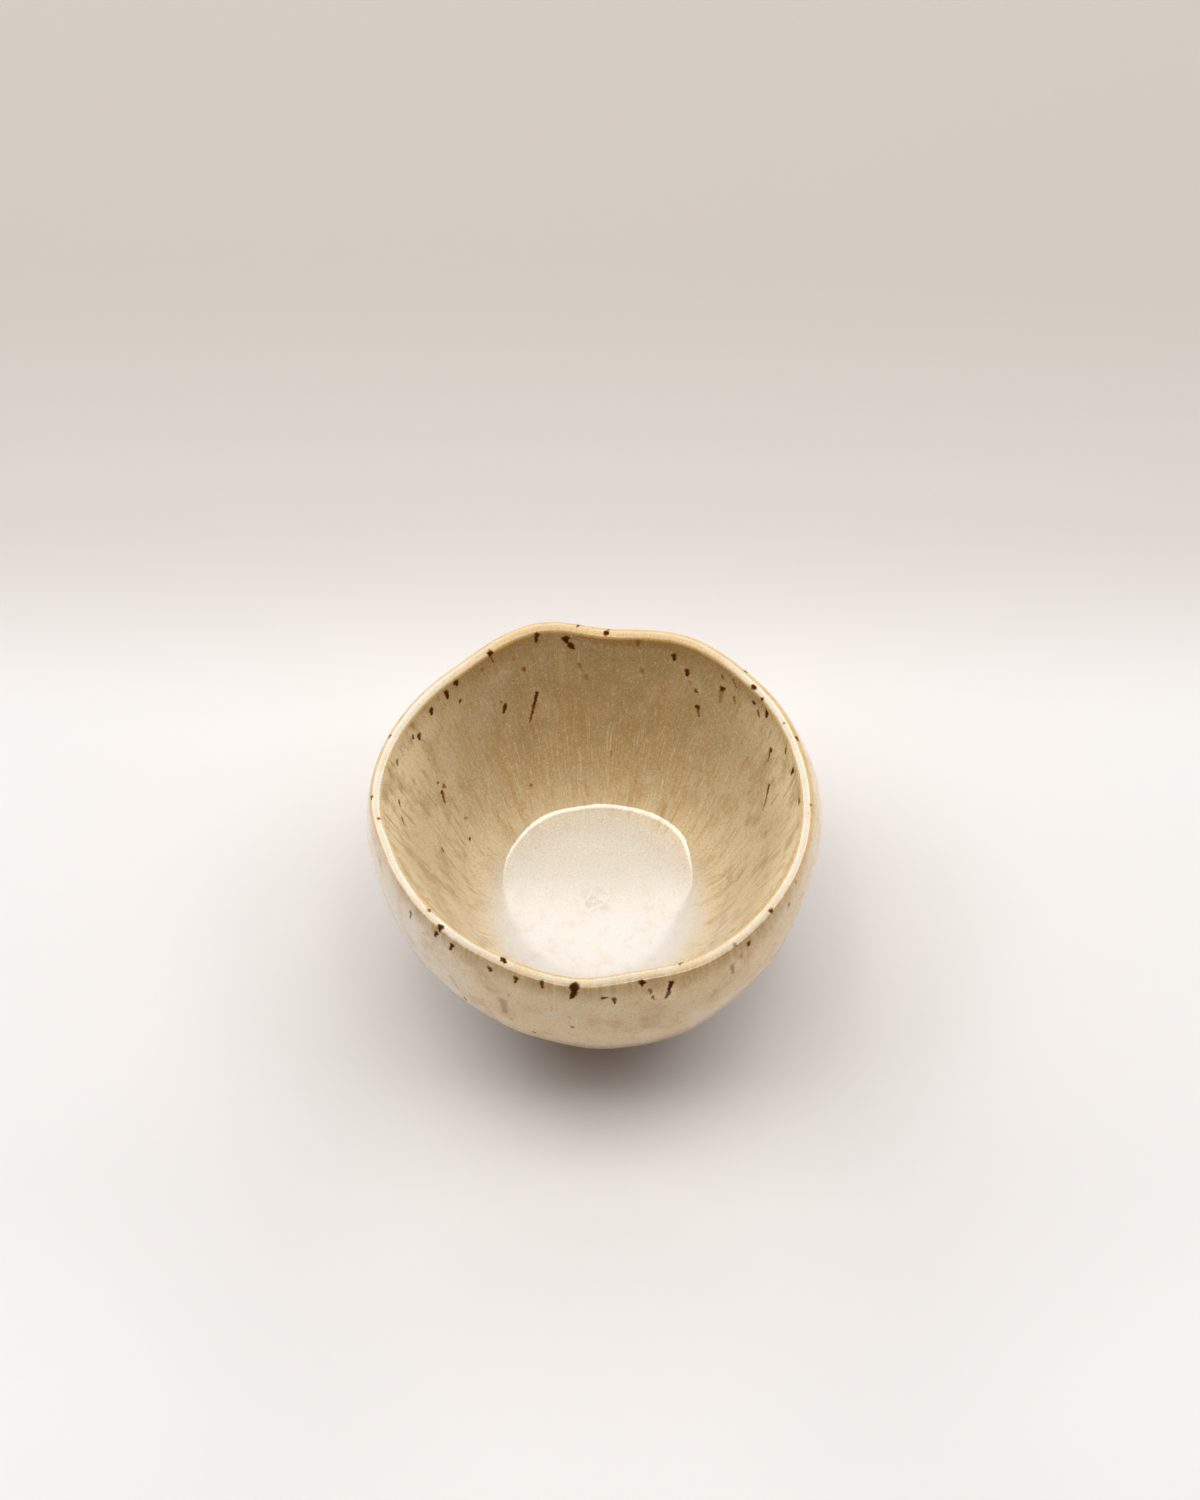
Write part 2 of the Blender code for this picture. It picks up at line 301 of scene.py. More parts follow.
class Shade:
    """A socket of a material or the world. Operators on it add Math nodes; | keeps the larger of two."""

    def __init__(self, socket):
        self.socket = socket

    def node(self, kind, settings, sockets, output=0):
        """Adds a node: its settings are set first, then the values or links of its sockets."""
        tree = self.socket.id_data
        made = tree.nodes.new("ShaderNode" + kind)
        for name, setting in settings.items():
            setattr(made, name, setting)
        for key, given in sockets.items():
            if isinstance(given, Shade):
                tree.links.new(given.socket, made.inputs[key])
            else:
                made.inputs[key].default_value = given
        return Shade(made.outputs[output])

    def math(self, operation, first, second=0.0):
        return self.node("Math", {"operation": operation}, {0: first, 1: second})

    def __add__(self, other):
        return self.math("ADD", self, other)

    def __sub__(self, other):
        return self.math("SUBTRACT", self, other)

    def __rsub__(self, other):
        return self.math("SUBTRACT", other, self)

    def __mul__(self, other):
        return self.math("MULTIPLY", self, other)

    def __truediv__(self, other):
        return self.math("DIVIDE", self, other)

    def __pow__(self, other):
        return self.math("POWER", self, other)

    def __abs__(self):
        return self.math("ABSOLUTE", self)

    def __or__(self, other):
        return self.math("MAXIMUM", self, other)

    __radd__ = __add__
    __rmul__ = __mul__

    def rise(self, low, high):
        """From 0 at low to 1 at high, easing at both ends; low may be the larger."""
        limits = {"Value": self, "From Min": low, "From Max": high}
        return self.node("MapRange", {"interpolation_type": "SMOOTHSTEP"}, limits)

    def vector(self, operation, other, output=0):
        return self.node("VectorMath", {"operation": operation}, {0: self, 1: other}, output)

    def between(self, first, second):
        """The colour that lies this share of the way from one colour to another."""
        ends = [(*end, 1.0) if isinstance(end, tuple) else end for end in (first, second)]
        return self.node("Mix", {"data_type": "RGBA"}, {0: self, 6: ends[0], 7: ends[1]}, 2)

    def noise(self, scale, detail=2.0, roughness=0.5):
        """Cloudy noise around 0.5 at this place."""
        sockets = {"Vector": self, "Scale": scale, "Detail": detail, "Roughness": roughness}
        return self.node("TexNoise", {}, sockets)

    def cells(self, scale):
        """Distance to the middle of the nearest of many scattered cells, and a chance value of that cell."""
        distance = self.node("TexVoronoi", {}, {"Vector": self, "Scale": scale})
        tint = Shade(distance.socket.node.outputs["Color"])
        return distance, tint.node("SeparateColor", {}, {0: tint})

    def feed(self, shader, name):
        self.socket.id_data.links.new(self.socket, shader.inputs[name])


def new_finish(name):
    """A material, its shader, and the place of a point on the piece."""
    finish = bpy.data.materials.new(name)
    finish.use_nodes = True
    shader = finish.node_tree.nodes["Principled BSDF"]
    place = Shade(finish.node_tree.nodes.new("ShaderNodeTexCoord").outputs["Object"])
    return finish, shader, place


def along_value(place):
    """The "along" value that a turned piece holds at a place."""
    return place.node("Attribute", {"attribute_name": "along"}, {}, "Fac")


BUFF = (0.47, 0.315, 0.185)
TOAST = (0.36, 0.185, 0.085)
RUBBED = (0.56, 0.42, 0.29)
GRIT = (0.07, 0.035, 0.018)
MOTTLE_SCALE = 160.0  # per m
SAND_SCALE = 1500.0
GRIT_SCALE = 420.0
GRIT_EDGE = (0.34, 0.16)  # share of the spacing, from the edge of a grain to its middle
GRIT_CHANCE = (0.70, 0.78)  # share of the cells that hold no grain
CLAY_RELIEF = 0.00015  # m


def stoneware(name, toasted, rubbed):
    """Bare fired clay. toasted and rubbed give, from the along value, how far each goes."""
    finish, shader, place = new_finish(name)
    along = along_value(place)
    mottle = place.noise(MOTTLE_SCALE, 4.0, 0.6)
    sand = place.noise(SAND_SCALE, 3.0, 0.7)
    grain_middle, chance = place.cells(GRIT_SCALE)
    grit = grain_middle.rise(*GRIT_EDGE) * chance.rise(*GRIT_CHANCE)
    colour = (mottle.rise(0.35, 0.7) * 0.5 + toasted(along)).between(BUFF, TOAST)
    colour = (rubbed(along) * sand.rise(0.3, 0.6)).between(colour, RUBBED)
    colour = (sand.rise(0.5, 0.8) * 0.25).between(colour, RUBBED)
    colour = (grit * 0.85).between(colour, GRIT)
    colour.feed(shader, "Base Color")
    (0.66 + 0.2 * sand).feed(shader, "Roughness")
    relief = sand * 0.6 + mottle * 0.4 - grit * 0.3
    bump = relief.node("Bump", {}, {"Strength": 0.5, "Distance": CLAY_RELIEF, "Height": relief})
    bump.feed(shader, "Normal")
    return finish


HIDDEN_STOP = 0.004  # m before the glaze line, where the rows of the hidden clay stop
HIDDEN_ROWS = 26
BARE_START = 0.003  # m before the glaze line, where the rows of the bare clay start
BARE_ROWS = 70
TURNING_PITCH = 0.0011  # m between the marks of the turning tool
TURNING_DEPTH = 0.00005
WOBBLE_LOOP = 4.0  # size of the loop through the noise that breaks the marks up around the cup
WOBBLE_SCALE = 900.0  # per m across them
TOAST_BAND = (0.0045, 0.0005)  # m past the glaze line, from no toasting to the most
WORN_MIDDLE = (0.016, 0.022)  # m past the glaze line, from no wear to the most

hidden_runs = np.linspace(0.0, glaze_run - HIDDEN_STOP, HIDDEN_ROWS)
bare_runs = np.linspace(glaze_run - BARE_START, skin_runs[-1], BARE_ROWS)


def clay_outline(azimuth):
    """Clay from the middle of the floor, over the lip and down to the middle of the underside."""
    loop = (WOBBLE_LOOP * math.cos(azimuth), WOBBLE_LOOP * math.sin(azimuth))
    points = []
    for run in (*hidden_runs, *bare_runs):
        radius, height = skin(run, COAT)
        turning = TURNING_DEPTH * math.sin(2 * math.pi * radius / TURNING_PITCH) if run > glaze_run else 0.0
        wobble = 0.5 + 0.5 * noise.noise((*loop, radius * WOBBLE_SCALE))
        points.append((max(radius, 0.0), height + turning * wobble, run - lip_run))
    points[0] = (0.0, *points[0][1:])
    points[-1] = (0.0, *points[-1][1:])
    return points


clay_bowl = turned("clay_bowl", clay_outline, False)
glaze_line = glaze_run - lip_run
clay_bowl.data.materials.append(
    stoneware(
        "bare_stoneware",
        lambda along: (along - glaze_line).rise(*TOAST_BAND) * 0.8,
        lambda along: (along - glaze_line).rise(*WORN_MIDDLE) * 0.3,
    )
)
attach(clay_bowl, "root")
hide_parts("clay_body")

# Foot ring: a coil of the same clay, luted under the bowl with slip and turned true when leather-hard.
# It is bare, toasted on its sides, and rubbed pale and smooth along the edge that the cup stands on.
FOOT_EDGE = 0.0007  # m, worn corners
SLIP_REACH = 0.0010  # how far the slip is smeared out over the bowl
SIDE_HOLLOW = 0.00025  # how far the sides are hollowed by the turning
SIDE_TAPER = 0.6  # under 1, so that the sides flare towards the bowl
SIDE_STEPS = 14
CORNER_STEPS = 6
SEAT_STEPS = 8
CONTACT = 0.00002  # m between the foot and the bowl
FOOT_TOAST = (0.0005, 0.0035)  # m above the table, from no toasting to the most
FOOT_RUB = (0.0009, 0.0002)  # m above the table, from no rubbing to the most


def foot_side(top, bottom, hollow):
    """Side of the foot from its top to its bottom, hollowed towards the middle of the ring."""
    points = []
    for step in range(SIDE_STEPS + 1):
        share = step / SIDE_STEPS
        radius = top[0] + (bottom[0] - top[0]) * share**SIDE_TAPER
        height = top[1] + (bottom[1] - top[1]) * share
        points.append((radius - hollow * math.sin(math.pi * share), height))
    return points


def corner(centre_radius, start, stop):
    """Worn corner above the table, between two angles in quarter turns."""
    points = []
    for step in range(1, CORNER_STEPS):
        angle = math.pi / 2 * (start + (stop - start) * step / CORNER_STEPS)
        radius = centre_radius + FOOT_EDGE * math.cos(angle)
        points.append((radius, FOOT_EDGE + FOOT_EDGE * math.sin(angle)))
    return points


def seat_point(radius):
    """Point just under the bare bowl, at a radius."""
    below_belly = slice(-1 - UNDERSIDE_STEPS - BELLY_STEPS, None)
    run = np.interp(-radius, -skin_points[below_belly, 0], skin_runs[below_belly])
    return skin(run, COAT - CONTACT)


seat_outer = JOINT_RADIUS + SLIP_REACH
seat_inner = FOOT_INNER - SLIP_REACH
seat = [seat_point(radius) for radius in np.linspace(seat_inner, seat_outer, SEAT_STEPS + 1)]
foot_points = seat[:-1]
foot_points += foot_side(seat[-1], (FOOT_RADIUS, FOOT_EDGE), SIDE_HOLLOW)
foot_points += corner(FOOT_RADIUS - FOOT_EDGE, 0, -1)
for radius in (FOOT_RADIUS - FOOT_EDGE, FOOT_INNER + FOOT_WIDTH / 2, FOOT_INNER + FOOT_EDGE):
    foot_points.append((radius, 0.0))
foot_points += corner(FOOT_INNER + FOOT_EDGE, -1, -2)
foot_points += foot_side(seat[0], (FOOT_INNER, FOOT_EDGE), -SIDE_HOLLOW)[:0:-1]


def foot_outline(azimuth):
    """The same ring at every azimuth; its along value is the height above the table."""
    return [(radius, height, height) for radius, height in foot_points]


foot = turned("foot", foot_outline, True)
foot.data.materials.append(
    stoneware(
        "foot_stoneware",
        lambda along: along.rise(*FOOT_TOAST) * 0.7,
        lambda along: along.rise(*FOOT_RUB),
    )
)
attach(foot, "root")
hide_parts("foot_ring")

# Glaze: a glossy cream coat, poured inside and dipped outside, which lapped over the lip and ran into one
# skin in the kiln. It is tan where it ran thin, honey on both edges of the lip, and cream where it pooled on
# the floor. Iron bled through it from the clay, and left dry brown spots.
# Painted shade darkens the far wall inside, the belly's underside and a band under the near lip. Painted light
# and
# painted highlight brighten the upper side walls, the sides of the lip, the near floor and the left of the
# outside.
GLAZE_BACK = 0.0005  # m, thickness of the coat over the clay
GLAZE_LINE_WAVE = 0.0006  # how far the glaze line wanders up and down
LINE_LOOPS = ((3.0, 5.0, 1.0), (9.0, 8.0, 0.5))  # size and level of a loop through the noise, and its share
LOWERING = 0.012  # m before the glaze line, over which the wandering sets in
BEAD = 0.00012  # how far the glaze swells before its edge
BEAD_REACH = 0.0022
EDGE_STEPS = 7
UNEVEN = 0.00006  # m, how uneven the melted surface lies
UNEVEN_SCALE = 130.0  # per m
DENT = 0.00028  # m, depth of the dents that the fingers left outside
DENT_SCALE = 85.0  # per m
DENT_START = 0.003  # m past the top of the lip
DENT_REACH = 0.008  # m along the skin, over which the dents set in
LAST_ROWS = 0.0004  # m before the glaze line, where the last rows of the front start
LAST_ROW_COUNT = 4
ROW_GAP = 0.0001  # m, least gap between those rows and the ones before
BACK_START = 0.0006  # m before the glaze line, where the rows of the back start
BACK_ROWS = 24

front_runs = skin_runs[skin_runs < glaze_run - LAST_ROWS - ROW_GAP]
front_runs = np.append(front_runs, np.linspace(glaze_run - LAST_ROWS, glaze_run, LAST_ROW_COUNT))


def glaze_outline(azimuth):
    """Front of the coat from the middle of the floor over the lip, its rolled edge, and its back."""
    turn_x, turn_y = math.cos(azimuth), math.sin(azimuth)
    shift = 0.0
    for loop, level, part in LINE_LOOPS:
        shift += GLAZE_LINE_WAVE * part * noise.noise((loop * turn_x, loop * turn_y, level))
    points = []
    for run in front_runs:
        lowering = min(max((run - glaze_run + LOWERING) / LOWERING, 0.0), 1.0)
        here = run + shift * lowering * lowering
        near_edge = min((glaze_run - run) / BEAD_REACH, 1.0)
        swell = BEAD * (1 - near_edge) ** 2 * (1 + 2 * near_edge)
        radius, height = skin(here, 0.0)
        place = Vector((radius * turn_x, radius * turn_y, height))
        uneven = UNEVEN * min(1.0, run / FLOOR_RADIUS) * noise.noise(place * UNEVEN_SCALE)
        dented = min(max((run - lip_run - DENT_START) / DENT_REACH, 0.0), 1.0) * near_edge
        uneven += DENT * dented * noise.noise(place * DENT_SCALE)
        radius, height = skin(here, uneven - swell)
        points.append((radius, height, run - lip_run))
    points[0] = (0.0, *points[0][1:])
    roll = COAT + BEAD - CONTACT
    for step in range(1, EDGE_STEPS + 1):
        angle = math.pi / 2 * step / EDGE_STEPS
        here = glaze_run + shift + roll * math.sin(angle)
        radius, height = skin(here, roll * (1 - math.cos(angle)) - BEAD)
        points.append((radius, height, glaze_line))
    for run in np.linspace(glaze_run - BACK_START, 0.0, BACK_ROWS):
        radius, height = skin(run, GLAZE_BACK)
        points.append((radius, height, run - lip_run))
    points[-1] = (0.0, *points[-1][1:])
    return points


glaze = turned("glaze", glaze_outline, False)

IRON_SPOTS = (  # pixels of the photograph: start, end and width of each spot, then how dark it is
    (579, 625, 577, 627, 3, 0.6),
    (606, 633, 606, 633, 4, 0.9),
    (608, 630, 609, 629, 3, 0.4),
    (537, 635, 536, 641, 4, 0.9),
    (566, 639, 567, 642, 6, 1.0),
    (570, 645, 574, 648, 5, 0.9),
    (490, 654, 490, 655, 5, 1.0),
    (491, 658, 493, 662, 3, 0.5),
    (456, 683, 457, 685, 5, 1.0),
    (446, 692, 448, 698, 4, 0.95),
    (460, 701, 460, 701, 3, 0.6),
    (431, 710, 432, 715, 4, 0.95),
    (537, 693, 534, 705, 3, 0.95),
    (534, 705, 530, 722, 3, 0.65),
    (505, 706, 504, 712, 4, 0.9),
    (501, 702, 502, 703, 3, 0.4),
    (413, 737, 414, 738, 4, 0.6),
    (419, 736, 420, 739, 5, 0.7),
    (524, 669, 525, 670, 4, 0.5),
    (482, 670, 482, 671, 4, 0.35),
    (514, 659, 515, 660, 3, 0.35),
    (579, 664, 580, 668, 4, 0.35),
    (586, 676, 587, 679, 4, 0.35),
    (397, 761, 398, 765, 4, 0.4),
    (438, 783, 438, 784, 3, 0.7),
    (444, 786, 446, 787, 4, 0.5),
    (442, 792, 445, 803, 3, 0.75),
    (531, 785, 531, 786, 3, 0.45),
    (470, 839, 470, 839, 3, 0.9),
    (442, 849, 444, 852, 3, 0.5),
    (465, 818, 468, 818, 3, 0.35),
    (399, 801, 400, 806, 3, 0.5),
    (402, 818, 404, 824, 3, 0.5),
    (674, 656, 674, 660, 4, 0.95),
    (687, 671, 687, 676, 4, 0.8),
    (696, 691, 697, 692, 4, 0.6),
    (690, 682, 691, 684, 4, 0.3),
    (698, 707, 698, 707, 4, 0.95),
    (698, 709, 699, 716, 3, 0.5),
    (722, 689, 725, 688, 4, 0.8),
    (721, 692, 720, 702, 6, 0.3),
    (722, 676, 724, 679, 3, 0.5),
    (733, 680, 736, 687, 3, 0.4),
    (734, 697, 735, 704, 3, 0.45),
    (754, 703, 754, 704, 4, 0.8),
    (762, 700, 762, 701, 4, 0.7),
    (767, 712, 766, 717, 4, 0.9),
    (758, 712, 759, 716, 4, 0.45),
    (753, 687, 755, 689, 4, 0.85),
    (771, 750, 771, 750, 4, 0.8),
    (770, 752, 768, 762, 3, 0.55),
    (786, 749, 785, 754, 3, 0.7),
    (793, 770, 791, 774, 4, 0.9),
    (769, 785, 766, 800, 3, 0.6),
    (766, 800, 763, 810, 3, 0.35),
    (799, 801, 799, 804, 4, 0.85),
    (797, 738, 798, 740, 4, 0.7),
    (811, 805, 811, 806, 3, 0.5),
    (611, 752, 611, 756, 3, 0.35),
    (642, 671, 643, 673, 4, 0.35),
    (638, 642, 638, 645, 5, 0.4),
    (372, 797, 372, 799, 3, 0.6),
    (379, 819, 379, 820, 3, 0.6),
    (390, 736, 388, 738, 3, 0.5),
    (440, 928, 440, 931, 5, 1.0),
    (437, 933, 435, 936, 4, 0.8),
    (452, 945, 450, 950, 4, 0.75),
    (503, 959, 506, 962, 4, 0.85),
    (490, 969, 490, 971, 5, 0.6),
    (516, 978, 515, 983, 4, 0.65),
    (542, 982, 542, 988, 4, 0.6),
    (574, 987, 574, 992, 7, 1.0),
    (574, 993, 571, 998, 5, 0.8),
    (572, 1027, 572, 1028, 4, 0.4),
    (534, 1032, 535, 1033, 3, 0.6),
    (465, 998, 466, 1000, 3, 0.5),
    (503, 1001, 505, 1012, 9, 0.25),
    (452, 978, 458, 988, 7, 0.20),
    (411, 912, 410, 918, 4, 0.4),
    (642, 983, 642, 985, 5, 0.95),
    (671, 983, 669, 991, 4, 0.85),
    (669, 992, 666, 998, 4, 0.5),
    (650, 990, 650, 994, 4, 0.4),
    (653, 997, 654, 999, 3, 0.4),
    (603, 998, 608, 998, 3, 0.6),
    (614, 999, 615, 1003, 4, 0.55),
    (680, 963, 680, 965, 4, 0.5),
    (749, 943, 749, 945, 4, 0.7),
    (735, 945, 736, 946, 4, 0.4),
    (732, 966, 733, 973, 5, 0.3),
    (741, 956, 742, 957, 6, 0.25),
    (771, 911, 772, 912, 4, 0.7),
    (789, 904, 789, 908, 4, 0.35),
    (748, 921, 747, 922, 4, 0.4),
    (732, 931, 734, 930, 4, 0.35),
    (796, 882, 796, 884, 3, 0.4),
)
SPOT_HALF = 0.43  # half width of a spot, as a share of its width
SPOT_TAPER = 0.5  # how much narrower a spot is at its end
SPOT_FADE = (2.6, 0.5)  # half widths from its middle line, from clear glaze to full iron
BLEED = 0.0012  # m, how far the edge of a spot strays from side to side
BLEED_SCALE = 1300.0  # per m
SPECK_SCALE = 260.0  # per m
SPECK_EDGE = (0.17, 0.06)  # share of the spacing, from the edge of a speck to its middle
SPECK_CHANCE = (0.45, 0.55)  # share of the cells that hold no speck

THIN_TAN = (0.34, 0.222, 0.078)
THICK_TAN = (0.755, 0.62, 0.405)
STREAK_PALE = (0.84, 0.74, 0.53)
STREAK_TAN = (0.29, 0.19, 0.080)
CLOUD_TAN = (0.45, 0.305, 0.140)
TRICKLE_AMBER = (0.40, 0.225, 0.065)
UPPER_SIDE_LIGHT = (0.97, 0.82, 0.54)
POOL_CREAM = (0.72, 0.715, 0.72)
FLOOR_TAN = (0.45, 0.40, 0.31)
POOL_TAN = (0.60, 0.49, 0.36)
POOL_GREY = (0.50, 0.43, 0.37)
OUTSIDE_OAT = (0.95, 0.690, 0.375)
OUTSIDE_PALE = (0.97, 0.87, 0.69)
OUTSIDE_LIT_MILK = (0.97, 0.89, 0.79)
OUTSIDE_TAN = (0.58, 0.345, 0.145)
BELLY_UNDERSIDE_SHADE = (0.33, 0.20, 0.095)
LIP_CREAM = (0.64, 0.54, 0.38)
LIP_PAINTED_HIGHLIGHT = (0.70, 0.62, 0.49)
LIP_HONEY = (0.70, 0.46, 0.19)
HONEY = (0.78, 0.48, 0.14)
UNDER_LIP_DRIP_SHADE = (0.54, 0.34, 0.125)
AMBER = (0.31, 0.135, 0.020)
RUST = (0.155, 0.055, 0.008)
IRON = (0.060, 0.020, 0.003)

# Runs in m along the skin from the top of the lip, less than 0 inside; a pair goes from none to the most
LIP_SEAM = (-0.0004, 0.0004)  # where inside turns to outside
LOW_WALL = (-0.014, -0.030)
THIN_WALL = (-0.056, -0.020)
UPPER_WALL = (-0.0190, -0.0040)
NEAR_WALL_GLOW = (-0.012, -0.024)
AMBER_WALL = (-0.0075, -0.0020)
LIP_START = (-0.0016, -0.0009)
LIP_STOP = (0.0010, 0.0003)
INNER_EDGE = -0.0012
OUTER_EDGE = 0.0010
EDGE_HALF = 0.0009  # half width of the honey on each edge
UNDER_START = (0.0001, 0.0008)  # the tan drip and the painted shade under the lip
UNDER_STOP = (0.0062, 0.0014)
TOWARDS_FOOT = (0.017, 0.033)

# Distances in m from the axis, and places in m behind it; a pair goes from none to the most
WALL_RADIUS = (0.017, 0.027)
POOL_RADIUS = (0.0250, 0.0172)
POOL_WANDER = 0.004  # how unevenly the edge of the pool runs
POOL_BACK = (-0.004, 0.016)  # where the pool gets thin; its fuller front is partly painted light
FLOOR_TAN_RADIUS = (0.0260, 0.0190)
FLOOR_TAN_BACK = (-0.002, 0.012)
SMUDGE_PLACE = (0.0, 0.004, 0.0)  # the greyish middle of the pool
SMUDGE_RADIUS = 0.0062
SATIN_RADIUS = (0.028, 0.020)  # the pool's duller near part
SATIN_FRONT = (0.012, -0.014)
UNSEEN_OUTSIDE = (-0.004, 0.008)  # where the photograph doesn't reach
UNSEEN_INSIDE = (-0.016, -0.024)

BLOTCH_SCALE = 170.0  # per m
STAIN_SCALE = 330.0
SMUDGE_SCALE = 700.0
RIPPLE_SCALE = 240.0
GRAIN_SCALE = 3000.0
DRAWN_OUT = (1.0, 1.0, 0.6)  # marks are longer up the wall than across it
RIPPLE_DEPTH = 0.0002  # m
GLAZE_IOR = 1.46

glaze_finish, shader, place = new_finish("cream_glaze")
shader.inputs["IOR"].default_value = GLAZE_IOR
along = along_value(place)
right, behind = (place.node("SeparateXYZ", {}, {0: place}, axis) for axis in "XY")
radius = (right * right + behind * behind) ** 0.5
side_x = right / radius
side_y = behind / radius


def run_noise(around_scale, along_scale, detail, roughness):
    """Noise drawn out down the wall: a scale around the cup, per radian, and one along the skin, per m."""
    drawn = {0: side_x * around_scale, 1: side_y * around_scale, 2: along * along_scale}
    return place.node("CombineXYZ", {}, drawn).noise(1.0, detail, roughness)


silk = run_noise(105.0, 150.0, 3.0, 0.6)
fleck = run_noise(70.0, 800.0, 3.0, 0.65)
cloud = run_noise(8.0, 125.0, 4.0, 0.6)
streak = run_noise(32.0, 55.0, 3.0, 0.6)
trickle = run_noise(34.0, 105.0, 2.5, 0.55)
drip = run_noise(45.0, 60.0, 3.0, 0.6).rise(0.35, 0.65)
warmth = run_noise(7.0, 40.0, 3.0, 0.6).rise(0.42, 0.66)
blotch = place.noise(BLOTCH_SCALE, 4.0, 0.6)
stain = place.noise(STAIN_SCALE, 5.0, 0.65).rise(0.48, 0.72)
dirt = place.noise(SMUDGE_SCALE, 3.0, 0.6).rise(0.40, 0.65)
grain = place.vector("MULTIPLY", DRAWN_OUT).noise(GRAIN_SCALE, 2.0, 0.7)

is_outside = along.rise(*LIP_SEAM)
is_inside = 1 - is_outside
is_wall = is_outside + is_inside * radius.rise(*WALL_RADIUS)
inner_wall = is_inside * is_wall
far_side = side_y.rise(0.0, 1.0)
# Painted light: the left of the outside, which catches more light and sheen, is painted paler below
lit_left_outside = side_x.rise(-0.30, -0.90) * is_outside

# The wall is tan inside, thin-coated and with painted shade on the far side, and oat outside, with clouds,
# streaks and flecks
# Partly painted shade: the coat is tan where it thins up the wall, and the far wall, which faces away from the
# light, is painted much darker
thin_and_far_shade = along.rise(*THIN_WALL) * (0.17 + 0.83 * side_y.rise(0.15, 1.0))
colour = thin_and_far_shade.between(THICK_TAN, THIN_TAN)
# Painted light: the upper wall inside is made paler at the sides and the near side, where light from the sides
# falls, but not on the far wall
colour = (along.rise(*UPPER_WALL) * (1 - far_side) * 0.90).between(colour, UPPER_SIDE_LIGHT)
# Painted light: the lower wall on the near side is made paler, for the glow that falls on the near foot of the
# wall
colour = (side_y.rise(0.10, -0.50) * along.rise(*NEAR_WALL_GLOW) * 0.40).between(colour, STREAK_PALE)
colour = is_outside.between(colour, OUTSIDE_OAT)
# The pale blotches are the coat's own; painted light makes them stronger, and the coat milkier, on the left of
# the outside
pale_and_lit_left = 0.50 * is_outside + 0.50 * lit_left_outside
colour = (blotch.rise(0.50, 0.28) * (0.08 + 0.92 * pale_and_lit_left)).between(colour, OUTSIDE_PALE)
colour = (lit_left_outside * 0.60).between(colour, OUTSIDE_LIT_MILK)
colour = (cloud.rise(0.46, 0.68) * inner_wall * 0.70).between(colour, CLOUD_TAN)
colour = (blotch.rise(0.46, 0.78) * is_outside * 0.70).between(colour, OUTSIDE_TAN)
colour = (streak.rise(0.52, 0.74) * inner_wall * 0.45).between(colour, CLOUD_TAN)
colour = (trickle.rise(0.57, 0.68) * inner_wall * 0.55).between(colour, TRICKLE_AMBER)
pale = is_outside.between(STREAK_PALE, OUTSIDE_PALE)
dark = is_outside.between(STREAK_TAN, OUTSIDE_TAN)
is_low = along.rise(*LOW_WALL) * is_inside
colour = (silk.rise(0.50, 0.75) * is_wall * (0.08 + 0.34 * is_low)).between(colour, pale)
colour = (fleck.rise(0.50, 0.72) * is_wall * 0.14).between(colour, pale)
colour = (fleck.rise(0.48, 0.26) * is_wall * (0.10 + 0.18 * is_inside)).between(colour, dark)
# Painted shade: the coat is darkened towards the foot, on the belly's underside, where shade falls
colour = (along.rise(*TOWARDS_FOOT) * 0.90).between(colour, BELLY_UNDERSIDE_SHADE)

# The floor holds the cream pool, which is thin and tan at its far edge, stained, and greyish in the middle
floor_tan = radius.rise(*FLOOR_TAN_RADIUS) * behind.rise(*FLOOR_TAN_BACK) * is_inside
colour = (floor_tan * 0.8).between(colour, FLOOR_TAN)
# Partly painted light: the cream pool is the coat's own, but it is laid fuller and whiter in front, for the
# glow on the near side of the floor
pool_depth_and_glow = 1 - 0.70 * behind.rise(*POOL_BACK)
pool_and_glow = (radius + POOL_WANDER * (cloud - 0.5)).rise(*POOL_RADIUS) * pool_depth_and_glow * is_inside
colour = (pool_and_glow * 0.96).between(colour, POOL_CREAM)
colour = (stain * pool_and_glow * 0.36).between(colour, POOL_TAN)
from_smudge = place.vector("SUBTRACT", SMUDGE_PLACE).vector("MULTIPLY", (1.0, 1.0, 0.0))
smudge = from_smudge.vector("LENGTH", (0, 0, 0), "Value").rise(SMUDGE_RADIUS, 0.0) * is_inside * dirt
colour = (smudge * 0.60).between(colour, POOL_GREY)

# The lip has a cream crest between honey edges, whitened at its sides with painted highlight, amber inside it
# at the back, and tan drips and painted shade outside in front
# Partly painted shade: tan drips run down under the lip, and a dark band is laid all along under the near lip,
# where its outer face turns from the light
drip_and_lip_shade = along.rise(*UNDER_STOP) * along.rise(*UNDER_START)
drip_and_lip_shade = drip_and_lip_shade * (0.65 + 0.35 * drip) * (0.30 + 0.70 * side_y.rise(-0.15, -0.75))
colour = drip_and_lip_shade.between(colour, UNDER_LIP_DRIP_SHADE)
colour = (along.rise(*AMBER_WALL) * far_side * is_inside * 0.5).between(colour, AMBER)
front_back = abs(side_y)
lip_tone = (side_y.rise(0.45, 1.0) | (warmth * 0.8)).between(LIP_CREAM, LIP_HONEY)
